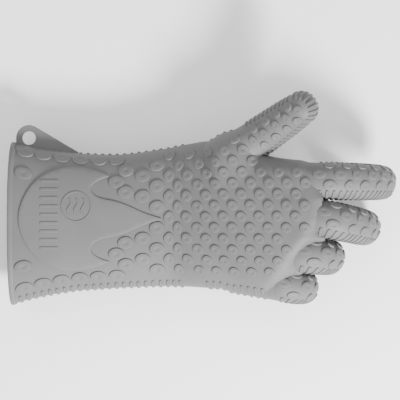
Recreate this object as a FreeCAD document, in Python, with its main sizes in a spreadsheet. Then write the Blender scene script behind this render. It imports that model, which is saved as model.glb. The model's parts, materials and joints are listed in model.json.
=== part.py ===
"""Heat resistant silicone glove, palm down on a table, as a parametric FreeCAD document.

The glove is one silicone moulding. It is divided here where it flexes: a gauntlet cuff, a hand, three
segments to each finger and two to the thumb, with a bending sleeve of the same wall at every joint.
Frame: +X towards the fingertips, +Y towards the thumb, +Z up, millimetres, with the origin at the
middle of the footprint on the table.
"""

import FreeCAD, Part
import Sketcher
import math
import os

from FreeCAD import Matrix, Placement, Rotation, Vector

doc = FreeCAD.newDocument("HeatResistantGlove")

# ---------------------------------------------------------------- driving dimensions (sheet "Sizes")

GENERAL = {
    "wall": 1.8,  # silicone wall
    "relief": 1.1,  # height of the raised pattern
    "mark_relief": 0.6,  # height of the ring, waves and bars on top of the flame panel
    # gauntlet cuff: an elliptical sleeve lying along X, flaring to its mouth
    "mouth_x": -165.5,
    "mouth_y": -20.0,
    "mouth_half_width": 71.0,
    "mouth_half_depth": 30.0,
    "waist_x": -105.0,
    "waist_y": -18.5,
    "waist_half_width": 60.8,
    "waist_half_depth": 29.0,
    "wrist_x": -19.0,
    "wrist_y": -15.0,
    "wrist_half_width": 61.0,
    "wrist_half_depth": 27.0,
    "wrist_gap": 12.0,  # half the length of the flexing wrist
    "axis_height": 32.0,
    "rim_band": 3.5,
    "rim_lip": 1.3,
    # hanging tab on the parting plane of the cuff
    "tab_left": -165.4,
    "tab_radius": 11.5,
    "tab_centre_y": 56.0,
    "tab_right": -110.0,
    "tab_right_y": 43.5,
    "tab_foot_y": 36.0,
    "tab_thickness": 3.0,
    "hang_hole_radius": 6.0,
    # hand, raised at the wrist
    "hand_rise": 17.0,
    "palm_length": 56.0,
    "palm_y": -18.5,
    "palm_half_width": 61.5,
    "palm_half_depth": 25.0,
    "front_length": 98.0,
    "front_y": -30.5,
    "front_half_width": 54.0,
    "front_half_depth": 18.5,
    "front_yaw": -19.0,
    # staggered grip nubs
    "cuff_nub_radius": 5.8,
    "cuff_nub_pitch": 23.3,
    "cuff_nub_row": 9.1,
    "hand_nub_radius": 4.2,
    "hand_nub_pitch": 14.9,
    "hand_nub_row": 8.5,
    # short ribs across the parting edge
    "rib_width": 2.7,
    "rib_reach": 7.0,
    "rib_pitch": 6.5,
    # smooth flame panel, the same on both sides of its axis, with a raised ring and bars
    "flame_y": -15.5,
    "ring_x": -109.0,
    "ring_y": -5.0,
    "ring_radius": 13.3,
    "ring_width": 1.2,
    "bar_x": -132.5,
    "bar_y": -12.0,
    "bar_length": 16.0,
    "bar_width": 2.6,
    "bar_pitch": 7.2,
}

# Each digit: where its root joint lies in plan and how far off the hand's plane, its heading, then
# its radii, lengths, flexing gaps and resting bends from the root joint to the tip.
FINGERS = {
    "index": {
        "root_x": 108.5, "root_y": 17.2, "lift": -1.0, "yaw": -1.0,
        "root_radius": 15.0, "middle_radius": 14.6, "tip_radius": 14.2, "end_radius": 13.6,
        "first_length": 30.0, "second_length": 21.0, "third_length": 24.0,
        "root_gap": 11.6, "middle_gap": 8.7, "tip_gap": 6.4,
        "root_bend": 37.0, "middle_bend": 20.0, "tip_bend": 15.0,
    },
    "middle": {
        "root_x": 111.3, "root_y": -16.4, "lift": 0.0, "yaw": -12.5,
        "root_radius": 15.0, "middle_radius": 14.6, "tip_radius": 14.2, "end_radius": 13.6,
        "first_length": 33.0, "second_length": 23.0, "third_length": 25.0,
        "root_gap": 12.6, "middle_gap": 9.1, "tip_gap": 7.0,
        "root_bend": 55.0, "middle_bend": 28.0, "tip_bend": 29.0,
    },
    "ring": {
        "root_x": 94.6, "root_y": -47.1, "lift": -1.0, "yaw": -8.0,
        "root_radius": 14.5, "middle_radius": 14.0, "tip_radius": 13.4, "end_radius": 12.8,
        "first_length": 29.0, "second_length": 21.0, "third_length": 23.0,
        "root_gap": 12.8, "middle_gap": 8.9, "tip_gap": 7.4,
        "root_bend": 69.0, "middle_bend": 33.0, "tip_bend": 45.0,
    },
    "little": {
        "root_x": 77.6, "root_y": -74.5, "lift": -5.0, "yaw": -10.0,
        "root_radius": 13.3, "middle_radius": 12.8, "tip_radius": 12.3, "end_radius": 11.8,
        "first_length": 24.0, "second_length": 18.0, "third_length": 20.0,
        "root_gap": 11.9, "middle_gap": 8.1, "tip_gap": 6.7,
        "root_bend": 72.0, "middle_bend": 35.0, "tip_bend": 45.0,
    },
}
THUMB = {
    "thumb": {
        "root_x": 51.5, "root_y": 56.8, "lift": 1.0, "yaw": 34.0, "stub_length": 38.0, "stub_rise": 13.4,
        "stub_radius": 22.0,
        "root_radius": 17.0, "middle_radius": 15.5, "end_radius": 14.4,
        "first_length": 30.0, "second_length": 31.0,
        "root_gap": 9.0, "middle_gap": 8.0,
        "root_bend": -11.6, "middle_bend": -11.0,
    },
}
STUB_LENGTH = 36.0  # finger tube inside and in front of the palm, back from its root joint
UP = Vector(0, 0, 1)

sheet = doc.addObject("Spreadsheet::Sheet", "Sizes")


def fill_sheet():
    cells = dict(GENERAL)
    for group in (FINGERS, THUMB):
        for digit, sizes in group.items():
            cells.update({f"{digit}_{name}": value for name, value in sizes.items()})
    for row, (alias, value) in enumerate(cells.items(), start=1):
        sheet.set(f"A{row}", alias)
        sheet.set(f"B{row}", str(value))
        sheet.setAlias(f"B{row}", alias)
    doc.recompute()


def size(alias):
    return float(sheet.get(alias))


# ---------------------------------------------------------------- small helpers


def add(kind, name, **expressions):
    """An object of the document whose properties are bound to cells of the sheet."""
    made = doc.addObject(kind, name)
    for prop, expression in expressions.items():
        made.setExpression(prop, expression)
    return made


def frame(base, x_axis, y_axis, z_axis):
    return Placement(
        Matrix(
            x_axis.x, y_axis.x, z_axis.x, base.x,
            x_axis.y, y_axis.y, z_axis.y, base.y,
            x_axis.z, y_axis.z, z_axis.z, base.z,
            0, 0, 0, 1,
        )
    )


def along(direction):
    """A frame's axes with Z along the direction and Y as near up as it can be."""
    lateral = UP.cross(direction).normalize()
    return lateral, direction.cross(lateral), direction


def heading(yaw, drop):
    """Unit vector at that yaw from +X, dropping below the horizontal by that many degrees."""
    yaw, drop = math.radians(yaw), math.radians(drop)
    return Vector(math.cos(drop) * math.cos(yaw), math.cos(drop) * math.sin(yaw), -math.sin(drop))


def cut(name, base, tool):
    made = doc.addObject("Part::Cut", name)
    made.Base, made.Tool = base, tool
    return made


def common(name, base, tool):
    made = doc.addObject("Part::Common", name)
    made.Base, made.Tool = base, tool
    return made


def fuse(name, shapes):
    made = doc.addObject("Part::MultiFuse", name)
    made.Shapes = shapes
    return made


def ellipse(name, centre, direction, half_width, half_depth):
    made = add("Part::Ellipse", name, MajorRadius=half_width, MinorRadius=half_depth)
    made.Placement = frame(centre, *along(direction))
    return made


def loft(name, stations, growth):
    """A solid through elliptical stations (centre, direction, width cell, depth cell), grown by an
    expression such as '- Sizes.wall'."""
    made = doc.addObject("Part::Loft", name)
    made.Sections = [
        ellipse(f"{name}_section", centre, direction, f"Sizes.{width} {growth}", f"Sizes.{depth} {growth}")
        for centre, direction, width, depth in stations
    ]
    made.Solid = True
    return made


def cone(name, start, direction, first_radius, last_radius, length):
    made = add("Part::Cone", name, Radius1=first_radius, Radius2=last_radius, Height=length)
    made.Placement = Placement(start, Rotation(UP, direction))
    return made


# ---------------------------------------------------------------- cuff


def cuff_stations():
    height, ahead = size("axis_height"), Vector(1, 0, 0)
    places = {
        "mouth": size("mouth_x"),
        "waist": size("waist_x"),
        "wrist": size("wrist_x") - size("wrist_gap"),
    }
    return [
        (Vector(x, size(f"{place}_y"), height), ahead, f"{place}_half_width", f"{place}_half_depth")
        for place, x in places.items()
    ]


def cuff_shell(outer):
    return cut("cuff_shell", outer, loft("cuff_hollow", cuff_stations(), "- Sizes.wall"))


def cuff_rim_band():
    """The lip round the mouth, a little proud of the cuff, with its outer edges rounded."""
    ahead = Vector(1, 0, 0)
    near = Vector(size("mouth_x"), size("mouth_y"), size("axis_height"))
    far = near - ahead * size("rim_band")
    stations = [(c, ahead, "mouth_half_width", "mouth_half_depth") for c in (far, near)]
    band = cut("rim_blank", loft("rim_outer", stations, "+ Sizes.rim_lip"), loft("rim_inner", stations, "- Sizes.wall"))
    doc.recompute()
    reach = size("mouth_half_width")
    rounded = [
        (number, 1.0, 1.0)
        for number, edge in enumerate(band.Shape.Edges, start=1)
        if edge.Closed and edge.BoundBox.YLength > 2 * reach
    ]
    made = doc.addObject("Part::Fillet", "cuff_rim_band")
    made.Base, made.Edges = band, rounded
    return made


def hang_tab(cuff_outer):
    """A flat ear on the parting plane, rounded round its hole and sloping down to the cuff."""
    body = doc.addObject("PartDesign::Body", "tab_blank")
    plane = next(o for o in body.Origin.OriginFeatures if o.Role == "XY_Plane")
    sketch = body.newObject("Sketcher::SketchObject", "tab_outline")
    sketch.AttachmentSupport, sketch.MapMode = [(plane, "")], "FlatFace"

    left, right, foot = size("tab_left"), size("tab_right"), size("tab_foot_y")
    radius, centre = size("tab_radius"), Vector(left + size("tab_radius"), size("tab_centre_y"))
    slope_end = Vector(right, size("tab_right_y"))
    reach = slope_end - centre
    tangent_angle = math.atan2(reach.y, reach.x) + math.acos(radius / reach.Length)
    leaves = centre + Vector(math.cos(tangent_angle), math.sin(tangent_angle)) * radius
    foot_left, foot_right = Vector(left, foot), Vector(right, foot)
    side = sketch.addGeometry(Part.LineSegment(foot_left, centre - Vector(radius, 0)))
    crown = sketch.addGeometry(Part.ArcOfCircle(Part.Circle(centre, UP, radius), tangent_angle, math.pi))
    slope = sketch.addGeometry(Part.LineSegment(leaves, slope_end))
    back = sketch.addGeometry(Part.LineSegment(slope_end, foot_right))
    base = sketch.addGeometry(Part.LineSegment(foot_right, foot_left))
    hole = sketch.addGeometry(Part.Circle(centre, UP, size("hang_hole_radius")))

    start, end, middle = 1, 2, 3
    constraint = Sketcher.Constraint
    sketch.addConstraint([
        constraint("Tangent", side, end, crown, end),
        constraint("Tangent", crown, start, slope, start),
        constraint("Coincident", slope, end, back, start),
        constraint("Coincident", back, end, base, start),
        constraint("Coincident", base, end, side, start),
        constraint("Coincident", hole, middle, crown, middle),
        constraint("Vertical", side),
        constraint("Vertical", back),
        constraint("Horizontal", base),
    ])
    bound = [
        ("Radius", (crown,), radius, "tab_radius"),
        ("Radius", (hole,), size("hang_hole_radius"), "hang_hole_radius"),
        ("DistanceX", (-1, 1, side, start), left, "tab_left"),
        ("DistanceY", (-1, 1, side, start), foot, "tab_foot_y"),
        ("DistanceY", (-1, 1, crown, middle), centre.y, "tab_centre_y"),
        ("DistanceX", (-1, 1, slope, end), right, "tab_right"),
        ("DistanceY", (-1, 1, slope, end), slope_end.y, "tab_right_y"),
    ]
    for kind, where, value, cell in bound:
        number = sketch.addConstraint(constraint(kind, *where, value))
        sketch.setExpression(f"Constraints[{number}]", f"Sizes.{cell}")
    pad = body.newObject("PartDesign::Pad", "tab_pad")
    pad.Profile = sketch
    pad.setExpression("Length", "Sizes.tab_thickness")
    pad.Midplane = True
    body.Placement.Base = Vector(0, 0, size("axis_height"))
    return cut("hang_tab", body, cuff_outer)


# ---------------------------------------------------------------- raised pattern of the cuff and hand


def spline(points):
    curve = Part.BSplineCurve()
    curve.interpolate([Vector(x, y, 0) for x, y in points])
    return curve.toShape()


def flame_face():
    """The flame's outline in plan: a long tongue between two short ones on a rounded foot, the same on
    both sides of its axis. Points are (x, distance from the axis)."""
    tongue = [(-34, 0), (-50, 5), (-66, 12), (-80, 16), (-92, 19.5), (-97, 26), (-92, 32.5), (-80, 37)]
    foot = [(-80, 37), (-95, 42.5), (-112, 45), (-129, 42), (-145, 32), (-155, 17), (-159, 0)]

    def flank(points, side):
        return [(x, size("flame_y") + side * away) for x, away in points]

    round_foot = flank(foot, 1) + flank(foot, -1)[-2::-1]
    flanks = [flank(tongue, 1), round_foot, flank(tongue, -1)]
    return Part.Face(Part.Wire(Part.__sortEdges__([spline(points) for points in flanks])))


def prism(name, faces, low, height):
    """Faces drawn in plan, raised into upright solids from the height 'low'."""
    made = doc.addObject("Part::Feature", name)
    lifted = [face.translated(Vector(0, 0, low)).extrude(Vector(0, 0, height)) for face in faces]
    made.Shape = Part.makeCompound(lifted)
    return made


def disc(x, y, radius, hole=0.0):
    centre = Vector(x, y, 0)
    face = Part.Face(Part.Wire(Part.makeCircle(radius, centre)))
    return face.cut(Part.Face(Part.Wire(Part.makeCircle(hole, centre)))) if hole else face


def skin_layer(name, outer, stations, low, high):
    """The thin layer between two offsets of a shell: what is raised on it is cut out of this layer."""
    inner = loft(f"{name}_inner", stations, low) if low else outer
    return cut(name, loft(f"{name}_outer", stations, high), inner)


def wave_faces():
    """Three short wavy bars inside the ring, as a plain sign for heat."""
    faces = []
    half_bar, swing, rise = 0.8, 1.6, 3.5
    for step in (-1, 0, 1):
        x, y = size("ring_x") + 6.0 * step, size("ring_y")
        line = [(x, y + 2 * rise), (x + swing, y + rise), (x, y), (x - swing, y - rise), (x, y - 2 * rise)]
        sides = [spline([(px + shift, py) for px, py in line]) for shift in (half_bar, -half_bar)]
        caps = [
            Part.makeLine(Vector(x - half_bar, py, 0), Vector(x + half_bar, py, 0))
            for py in (y + 2 * rise, y - 2 * rise)
        ]
        faces.append(Part.Face(Part.Wire(Part.__sortEdges__(sides + caps))))
    return faces


def bar_faces():
    """A column of nine plain bars beside the ring."""
    length, width = size("bar_length"), size("bar_width")
    return [
        Part.makePlane(length, width, Vector(size("bar_x") - length / 2, y - width / 2, 0))
        for y in (size("bar_y") + size("bar_pitch") * step for step in range(-4, 5))
    ]


def rib_faces(edge_points):
    """Short bars across an edge, each drawn from outside the edge to its reach inside it."""
    width, reach = size("rib_width"), size("rib_reach")
    return [
        Part.makePlane(width, reach + 5, Vector(x - width / 2, y - reach if outward > 0 else y - 5, 0))
        for x, y, outward in edge_points
    ]


def staggered(pitch, row_step, rows, columns, start, middle):
    """Points of a staggered lattice: rows along X, every other row shifted by half the pitch."""
    for row in range(rows):
        for column in range(columns):
            yield start + pitch * (column + row % 2 / 2), middle + row_step * (row - rows // 2)


def cuff_half_width(x):
    """The cuff's half width along its length: a parabola through mouth, waist and wrist."""
    stations = [(size("mouth_x"), "mouth"), (size("waist_x"), "waist"), (size("wrist_x") - size("wrist_gap"), "wrist")]
    total = 0.0
    for here, place in stations:
        others = [there for there, _ in stations if there != here]
        weight = math.prod((x - there) / (here - there) for there in others)
        total += size(f"{place}_half_width") * weight
    return total


def cuff_pattern(outer):
    stations = cuff_stations()
    flame = flame_face()
    layer = skin_layer("cuff_layer", outer, stations, "", "+ Sizes.relief")
    mark_layer = skin_layer("cuff_mark_layer", None, stations, "+ Sizes.relief", "+ Sizes.relief + Sizes.mark_relief")
    middle, reach = size("axis_height"), 2 * size("mouth_half_depth")
    ring = disc(size("ring_x"), size("ring_y"), size("ring_radius"), size("ring_radius") - size("ring_width"))
    marks = [ring, *wave_faces(), *bar_faces()]
    for side, low in (("top", middle), ("under", middle - reach)):
        common(f"cuff_flame_panel_{side}", prism(f"flame_prism_{side}", [flame], low, reach), layer)
        common(f"cuff_marks_{side}", prism(f"mark_prisms_{side}", marks, low, reach), mark_layer)

    radius, pitch = size("cuff_nub_radius"), size("cuff_nub_pitch")
    last = size("wrist_x") - size("wrist_gap") - radius - 0.5
    spots = []
    for x, y in staggered(pitch, size("cuff_nub_row"), 15, 6, size("mouth_x") + 10, size("mouth_y")):
        inside = x < last and abs(y - size("wrist_y") + 3) < cuff_half_width(x) - size("rib_reach") - radius - 1
        if inside and flame.distToShape(Part.Vertex(x, y, 0))[0] > radius + 0.5:
            spots.append(disc(x, y, radius))
    common("cuff_grip_nubs", prism("cuff_nub_prisms", spots, middle - reach, 2 * reach), layer)

    edge_points = []
    pitch = size("rib_pitch")
    slant = (size("wrist_y") - size("mouth_y")) / (size("wrist_x") - size("wrist_gap") - size("mouth_x"))
    for step in range(int((last - size("mouth_x")) / pitch)):
        x = size("mouth_x") + 6 + pitch * step
        centre = size("mouth_y") + (x - size("mouth_x")) * slant
        edge_points.append((x, centre - cuff_half_width(x), -1))
        if x > size("tab_right") + size("rib_width"):
            edge_points.append((x, centre + cuff_half_width(x), 1))
    common("cuff_edge_ribs", prism("cuff_rib_prisms", rib_faces(edge_points), middle - reach, 2 * reach), layer)


def clear_of_stubs(x, y, margin):
    """Whether a point in plan stays away from the tubes of the index, little finger and thumb."""
    here = Part.Vertex(x, y, 0)
    for digit in ("index", "little", "thumb"):
        root, direction = digit_root(digit), stub_direction(digit)
        length = size("thumb_stub_length") if digit == "thumb" else STUB_LENGTH
        radius = size("thumb_stub_radius" if digit == "thumb" else f"{digit}_root_radius")
        start = root - direction * length
        axis = Part.makeLine(Vector(start.x, start.y, 0), Vector(root.x, root.y, 0))
        if axis.distToShape(here)[0] < radius + margin:
            return False
    return True


def hand_pattern(outer, stations):
    """Staggered nubs on the back and palm of the hand, ribs along its little-finger edge."""
    layer = skin_layer("hand_layer", outer, stations, "", "+ Sizes.relief")
    radius = size("hand_nub_radius")
    front = size("wrist_x") + size("front_length") * math.cos(math.radians(size("hand_rise")))
    spots = []
    for x, y in staggered(size("hand_nub_pitch"), size("hand_nub_row"), 13, 8, size("wrist_x") + 22, size("palm_y") - 4):
        ahead_of = front + (y - size("front_y")) * math.tan(math.radians(-size("front_yaw")))
        aside = abs(y - size("palm_y")) < size("palm_half_width") - size("rib_reach") - radius
        if aside and x < ahead_of - radius - 4 and clear_of_stubs(x, y, radius + 0.5):
            spots.append(disc(x, y, radius))
    low, height = size("axis_height") - 50, 150
    common("hand_grip_nubs", prism("hand_nub_prisms", spots, low, height), layer)

    edge_points = []
    for step in range(5):
        x = size("wrist_x") + 17 + size("rib_pitch") * step
        edge_points.append((x, size("palm_y") - size("palm_half_width") + 0.002 * (x - 30) ** 2, -1))
    common("hand_edge_ribs", prism("hand_rib_prisms", rib_faces(edge_points), low, height), layer)


# ---------------------------------------------------------------- bending sleeves


def bend_axes(before, after):
    """The bend's angle in degrees, its axis, and the direction from the tube to the bend's centre."""
    axis = before.cross(after).normalize()
    return math.degrees(before.getAngle(after)), axis, axis.cross(before)


def tube_sleeve(name, vertex, before, after, gap_cell, radius_cell, bend_cell):
    """A round flexing sleeve: a sector of a hollow torus from gap before the joint to gap after it."""
    _, axis, inward = bend_axes(before, after)
    reach = f"Sizes.{gap_cell} / tan(abs(Sizes.{bend_cell}) / 2 * 1 deg)"
    start = vertex - before * size(gap_cell)
    swing = size(gap_cell) / math.tan(math.radians(abs(size(bend_cell)) / 2))
    placed = frame(start + inward * swing, inward * -1, before, axis)
    parts = []
    for suffix, radius in (("outer", f"Sizes.{radius_cell}"), ("hollow", f"Sizes.{radius_cell} - Sizes.wall")):
        torus = add("Part::Torus", f"{name}_{suffix}", Radius1=reach, Radius2=radius)
        torus.setExpression("Angle3", f"abs(Sizes.{bend_cell})")
        torus.Placement = placed
        parts.append(torus)
    return cut(name, *parts)


def wrist_sleeve(wrist, hand_direction):
    """The elliptical flexing sleeve between cuff and hand, turned about the line its two ends meet in."""
    ahead = Vector(1, 0, 0)
    angle, axis, inward = bend_axes(ahead, hand_direction)
    gap = size("wrist_gap")
    start = wrist - ahead * gap
    centre = start + inward * (gap / math.tan(math.radians(angle / 2)))
    parts = []
    for suffix, growth in (("outer", ""), ("hollow", "- Sizes.wall")):
        section = ellipse(
            f"wrist_{suffix}_section", start, ahead, f"Sizes.wrist_half_width {growth}", f"Sizes.wrist_half_depth {growth}"
        )
        turned = doc.addObject("Part::Revolution", f"wrist_{suffix}")
        turned.Source, turned.Axis, turned.Base = section, axis, centre
        turned.setExpression("Angle", "Sizes.hand_rise")
        turned.Solid = True
        parts.append(turned)
    return cut("wrist_flex_sleeve", *parts)


# ---------------------------------------------------------------- hand and digits


def hand_plane_height(x):
    return size("axis_height") + (x - size("wrist_x")) * math.tan(math.radians(size("hand_rise")))


def digit_root(digit):
    """Where the digit's root joint lies."""
    x, y = size(f"{digit}_root_x"), size(f"{digit}_root_y")
    return Vector(x, y, hand_plane_height(x) + size(f"{digit}_lift"))


def stub_direction(digit):
    rise = size("thumb_stub_rise") if digit == "thumb" else size("hand_rise")
    return heading(size(f"{digit}_yaw"), -rise)


def hand_stations(direction):
    wrist = Vector(size("wrist_x"), size("wrist_y"), size("axis_height"))
    side_slope = math.radians(size("front_yaw"))
    front_direction = Rotation(direction.cross(Vector(0, 1, 0)), math.degrees(side_slope)).multVec(direction)

    def at(length, y):
        return wrist + direction * length + Vector(0, y - size("wrist_y"), 0)

    return [
        (at(size("wrist_gap"), size("wrist_y")), direction, "wrist_half_width", "wrist_half_depth"),
        (at(size("palm_length"), size("palm_y")), direction, "palm_half_width", "palm_half_depth"),
        (at(size("front_length"), size("front_y")), front_direction, "front_half_width", "front_half_depth"),
    ]


def hand_shell(stations, outer):
    """The hollow hand: a loft from wrist to knuckles with a tube leaving it for each digit."""
    inner_stations = list(stations)
    front_centre, front_direction, width, depth = stations[-1]
    inner_stations[-1] = (front_centre - front_direction * size("wall"), front_direction, width, depth)
    hollow = loft("hand_hollow", inner_stations, "- Sizes.wall")
    stubs, bores = [], []
    for digit in (*FINGERS, "thumb"):
        direction = stub_direction(digit)
        length = size("thumb_stub_length") if digit == "thumb" else STUB_LENGTH
        start = digit_root(digit) - direction * length
        base = "Sizes.thumb_stub_radius" if digit == "thumb" else f"Sizes.{digit}_root_radius"
        end, height = f"Sizes.{digit}_root_radius", f"{length} - Sizes.{digit}_root_gap"
        for group, growth in ((stubs, ""), (bores, " - Sizes.wall")):
            group.append(cone(f"{digit}_stub", start, direction, base + growth, end + growth, height))
            if digit == "thumb":
                ball = add("Part::Sphere", "thumb_stub_end", Radius=base + growth)
                ball.Placement = Placement(start, Rotation(UP, direction))
                group.append(ball)
    return cut("hand_shell", fuse("hand_outside", [outer, *stubs]), fuse("hand_inside", [hollow, *bores]))


def open_segment(name, start, direction, first, last, length):
    """A hollow tapered tube, open at both ends."""
    outer = cone(f"{name}_outer", start, direction, first, last, length)
    hollow = cone(f"{name}_hollow", start, direction, f"{first} - Sizes.wall", f"{last} - Sizes.wall", length)
    return cut(name, outer, hollow)


def closed_tip(name, start, direction, first, last, length):
    """A hollow tapered tube closed by a hemisphere."""
    solids = []
    for suffix, growth in (("outer", ""), ("hollow", " - Sizes.wall")):
        body = cone(f"{name}_{suffix}_cone", start, direction, first + growth, last + growth, length)
        ball = add("Part::Sphere", f"{name}_{suffix}_ball", Radius=last + growth)
        ball.Angle1 = 0
        doc.recompute()
        ball.Placement = Placement(start + direction * float(body.Height), Rotation(UP, direction))
        solids.append(fuse(f"{name}_{suffix}", [body, ball]))
    return cut(name, *solids)


def build_digit(digit, radii, lengths, gaps, bends, sleeve_names, segment_names):
    """A chain of sleeves and segments from the root joint to the tip. Returns joint places and axes."""
    vertex = digit_root(digit)
    before = stub_direction(digit)
    drop = -(size("thumb_stub_rise") if digit == "thumb" else size("hand_rise"))
    joints = []
    for number, bend in enumerate(bends):
        drop += size(f"{digit}_{bend}")
        after = heading(size(f"{digit}_yaw"), drop)
        gap = f"{digit}_{gaps[number]}"
        tube_sleeve(
            f"{digit}_{sleeve_names[number]}", vertex, before, after, gap, f"{digit}_{radii[number]}", f"{digit}_{bend}"
        )
        joints.append((vertex, before, after))
        start = vertex + after * size(gap)
        first, last = (f"Sizes.{digit}_{radii[number + k]}" for k in (0, 1))
        length = f"Sizes.{digit}_{lengths[number]} - Sizes.{gap}"
        name = f"{digit}_{segment_names[number]}"
        if number + 1 < len(bends):
            open_segment(name, start, after, first, last, f"{length} - Sizes.{digit}_{gaps[number + 1]}")
        else:
            closed_tip(name, start, after, first, last, f"{length} - {last}")
        vertex = vertex + after * size(f"{digit}_{lengths[number]}")
        before = after
    return joints


def build_hand():
    direction = heading(0, -size("hand_rise"))
    wrist = Vector(size("wrist_x"), size("wrist_y"), size("axis_height"))
    stations = hand_stations(direction)
    outer = loft("hand_outer", stations, "")
    hand_shell(stations, outer)
    wrist_sleeve(wrist, direction)
    hand_pattern(outer, stations)
    joints = {}
    for digit in FINGERS:
        joints[digit] = build_digit(
            digit,
            ("root_radius", "middle_radius", "tip_radius", "end_radius"),
            ("first_length", "second_length", "third_length"),
            ("root_gap", "middle_gap", "tip_gap"),
            ("root_bend", "middle_bend", "tip_bend"),
            ("root_sleeve", "middle_sleeve", "tip_sleeve"),
            ("base_segment", "middle_segment", "fingertip"),
        )
    joints["thumb"] = build_digit(
        "thumb",
        ("root_radius", "middle_radius", "end_radius"),
        ("first_length", "second_length"),
        ("root_gap", "middle_gap"),
        ("root_bend", "middle_bend"),
        ("root_sleeve", "tip_sleeve"),
        ("base_segment", "thumbtip"),
    )
    return joints


# ---------------------------------------------------------------- build, test and write

CUFF_NODES = [
    "cuff_shell", "cuff_rim_band", "hang_tab", "cuff_flame_panel_top", "cuff_flame_panel_under",
    "cuff_marks_top", "cuff_marks_under", "cuff_grip_nubs", "cuff_edge_ribs",
]
HAND_NODES = ["wrist_flex_sleeve", "hand_shell", "hand_grip_nubs", "hand_edge_ribs"]
FINGER_NODES = ["root_sleeve", "base_segment", "middle_sleeve", "middle_segment", "tip_sleeve", "fingertip"]
THUMB_NODES = ["root_sleeve", "base_segment", "tip_sleeve", "thumbtip"]
NODES = (
    CUFF_NODES
    + HAND_NODES
    + [f"{digit}_{node}" for digit in FINGERS for node in FINGER_NODES]
    + [f"thumb_{node}" for node in THUMB_NODES]
)


def check(parts):
    for made in doc.Objects:
        if {"Invalid", "Error"} & set(made.State):
            raise RuntimeError(f"{made.Name} did not build: {made.State}")
    for name, made in parts.items():
        if made.Shape.isNull() or not made.Shape.isValid() or not made.Shape.Solids:
            raise RuntimeError(f"{name} is not a valid solid")


def centre_on_table(parts):
    """Moves every sub-part so that the origin is the middle of the glove's footprint."""
    whole = FreeCAD.BoundBox()
    for made in parts.values():
        whole.add(made.Shape.optimalBoundingBox(True))
    shift = Vector(-(whole.XMin + whole.XMax) / 2, -(whole.YMin + whole.YMax) / 2, -whole.ZMin)
    for made in parts.values():
        made.Placement = Placement(made.Placement.Base + shift, made.Placement.Rotation)
    doc.recompute()
    return shift


def main():
    fill_sheet()
    cuff_outer = loft("cuff_outer", cuff_stations(), "")
    cuff_shell(cuff_outer)
    cuff_rim_band()
    hang_tab(cuff_outer)
    cuff_pattern(cuff_outer)
    joints = build_hand()
    doc.recompute()
    parts = {name: doc.getObject(name) for name in NODES}
    check(parts)
    shift = centre_on_table(parts)
    check(parts)
    os.makedirs("parts", exist_ok=True)
    for name, made in parts.items():
        made.Label = name
        made.Shape.exportStep(f"parts/{name}.step")
        print(f"{name}: {len(made.Shape.Solids)} solids, {made.Shape.Volume:.0f} mm3")
    print("shift", [round(v, 3) for v in shift])
    for digit, places in joints.items():
        for vertex, before, after in places:
            at = vertex + shift
            print(digit, [round(v, 2) for v in at], [round(v, 4) for v in before], [round(v, 4) for v in after])


main()
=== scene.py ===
import json
import math

import bpy
import numpy as np
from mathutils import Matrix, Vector
from mathutils.geometry import delaunay_2d_cdt


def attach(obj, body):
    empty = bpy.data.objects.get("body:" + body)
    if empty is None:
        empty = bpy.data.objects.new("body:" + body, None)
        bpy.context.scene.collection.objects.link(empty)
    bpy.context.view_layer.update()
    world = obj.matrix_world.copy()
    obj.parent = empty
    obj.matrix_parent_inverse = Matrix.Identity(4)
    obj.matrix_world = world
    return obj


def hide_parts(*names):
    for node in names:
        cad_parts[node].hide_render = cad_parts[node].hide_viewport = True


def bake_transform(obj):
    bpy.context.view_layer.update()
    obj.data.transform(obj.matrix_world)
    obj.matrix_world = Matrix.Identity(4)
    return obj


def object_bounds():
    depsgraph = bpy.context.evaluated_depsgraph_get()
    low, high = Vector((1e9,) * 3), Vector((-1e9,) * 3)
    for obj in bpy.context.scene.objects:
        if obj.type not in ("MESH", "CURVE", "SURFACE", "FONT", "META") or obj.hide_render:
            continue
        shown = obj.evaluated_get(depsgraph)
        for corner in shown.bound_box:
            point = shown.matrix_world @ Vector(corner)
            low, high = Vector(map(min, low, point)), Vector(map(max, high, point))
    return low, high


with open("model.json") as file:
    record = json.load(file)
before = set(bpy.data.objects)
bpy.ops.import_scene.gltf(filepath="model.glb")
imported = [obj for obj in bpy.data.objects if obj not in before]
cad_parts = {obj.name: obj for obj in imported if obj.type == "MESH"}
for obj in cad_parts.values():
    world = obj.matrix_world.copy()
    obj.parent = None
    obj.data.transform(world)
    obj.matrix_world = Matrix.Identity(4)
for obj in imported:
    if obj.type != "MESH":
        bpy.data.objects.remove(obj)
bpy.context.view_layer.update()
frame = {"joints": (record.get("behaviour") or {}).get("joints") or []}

# All lengths below are millimetres. Plan coordinates (x, y) are those of the flat drawing of the glove.
# DRAWN_WRIST is where its wrist bends there, and SHIFT carries the drawing to the frame.
MM = 0.001
DRAWN_WRIST = np.array((-19.0, -15.0, 32.0))
WRIST = np.array(next(j for j in frame["joints"] if j["name"] == "wrist_flex")["pos_m"]) / MM
SHIFT = WRIST - DRAWN_WRIST
RISE = math.radians(17.0)
WALL = 1.8
RELIEF = 1.1
TUCK = 0.3  # how far a skin dips below its neighbour where they meet
SHARP = math.radians(38)
AHEAD = np.array((math.cos(RISE), 0.0, math.sin(RISE)))
UPWARD = np.array((-math.sin(RISE), 0.0, math.cos(RISE)))
SIDEWAYS = np.array((0.0, 1.0, 0.0))

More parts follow.
